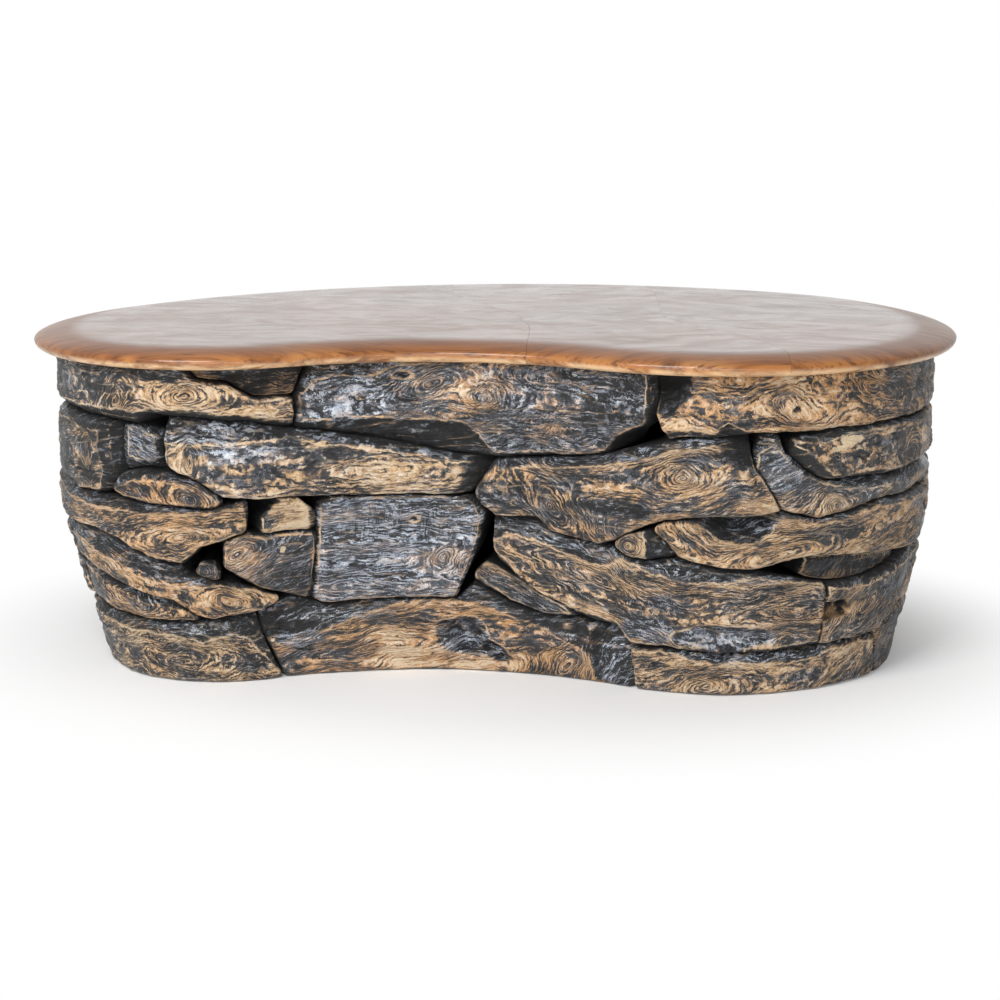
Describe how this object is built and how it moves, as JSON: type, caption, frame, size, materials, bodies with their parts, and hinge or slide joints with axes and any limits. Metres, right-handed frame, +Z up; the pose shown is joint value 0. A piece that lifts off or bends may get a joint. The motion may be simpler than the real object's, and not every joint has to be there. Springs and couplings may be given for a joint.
{
  "type": "coffee table",
  "caption": "Kidney-shaped wooden coffee table: a rounded board top on a ring base of stacked, charred and interlocking reclaimed blocks that draws in towards the floor.",
  "frame": {"origin": "on the floor, under the middle of the top's outline", "axes": "+X along the length to the right end, +Z up; the dip of the kidney faces -Y"},
  "size_m": [1.2192, 0.7444, 0.45],
  "materials": {
    "oiled_top": "oiled, satin sheen, orange-brown with fine grain",
    "charred_dark": "charred black, brushed and oiled",
    "charred_bluish": "charred black with a bluish sheen, brushed",
    "charred_brown": "charred dark brown with pale ring lines, brushed",
    "charred_golden": "charred brown with golden ring lines, brushed and oiled",
    "batten_wood": "planed, untreated",
    "dowel_wood": "turned, untreated",
    "screw_steel": "plain steel"
  },
  "bodies": {
    "root": {"left_board": "oiled_top", "centre_board": "oiled_top", "right_board": "oiled_top", "front_batten": "batten_wood", "rear_batten": "batten_wood", "batten_screws": "screw_steel", "bed_dowels": "dowel_wood", "upper_left_block": "charred_golden", "upper_left_filler": "charred_brown", "upper_centre_block": "charred_bluish", "upper_right_block": "charred_golden", "left_end_block": "charred_dark", "end_grain_block": "charred_bluish", "long_arch_block": "charred_golden", "oval_block": "charred_brown", "swirl_block": "charred_brown", "square_end_block": "charred_bluish", "right_shoulder_block": "charred_brown", "fan_grain_block": "charred_golden", "pointed_block": "charred_brown", "left_wedge_block": "charred_dark", "ring_knot_block": "charred_brown", "weathered_block": "charred_bluish", "tan_wedge_block": "charred_golden", "branch_stub": "charred_brown", "lumpy_block": "charred_brown", "dark_wedge_block": "charred_dark", "round_branch_block": "charred_brown", "dipped_block": "charred_golden", "fibrous_block": "charred_dark", "notched_block": "charred_brown", "foot_left_block": "charred_brown", "knot_hole_block": "charred_golden", "foot_right_block": "charred_brown", "foot_corner_block": "charred_dark", "rear_top_block_1": "charred_brown", "rear_top_block_2": "charred_dark", "rear_top_block_3": "charred_golden", "rear_top_block_4": "charred_bluish", "rear_upper_block_1": "charred_bluish", "rear_upper_block_2": "charred_golden", "rear_upper_block_3": "charred_brown", "rear_upper_block_4": "charred_dark", "rear_upper_block_5": "charred_golden", "rear_middle_block_1": "charred_golden", "rear_middle_block_2": "charred_dark", "rear_middle_block_3": "charred_bluish", "rear_middle_block_4": "charred_brown", "rear_lower_block_1": "charred_brown", "rear_lower_block_2": "charred_golden", "rear_lower_block_3": "charred_dark", "rear_lower_block_4": "charred_brown", "rear_lower_block_5": "charred_bluish", "rear_foot_block_1": "charred_golden", "rear_foot_block_2": "charred_brown", "rear_foot_block_3": "charred_dark", "rear_foot_block_4": "charred_brown"}
  },
  "joints": []
}
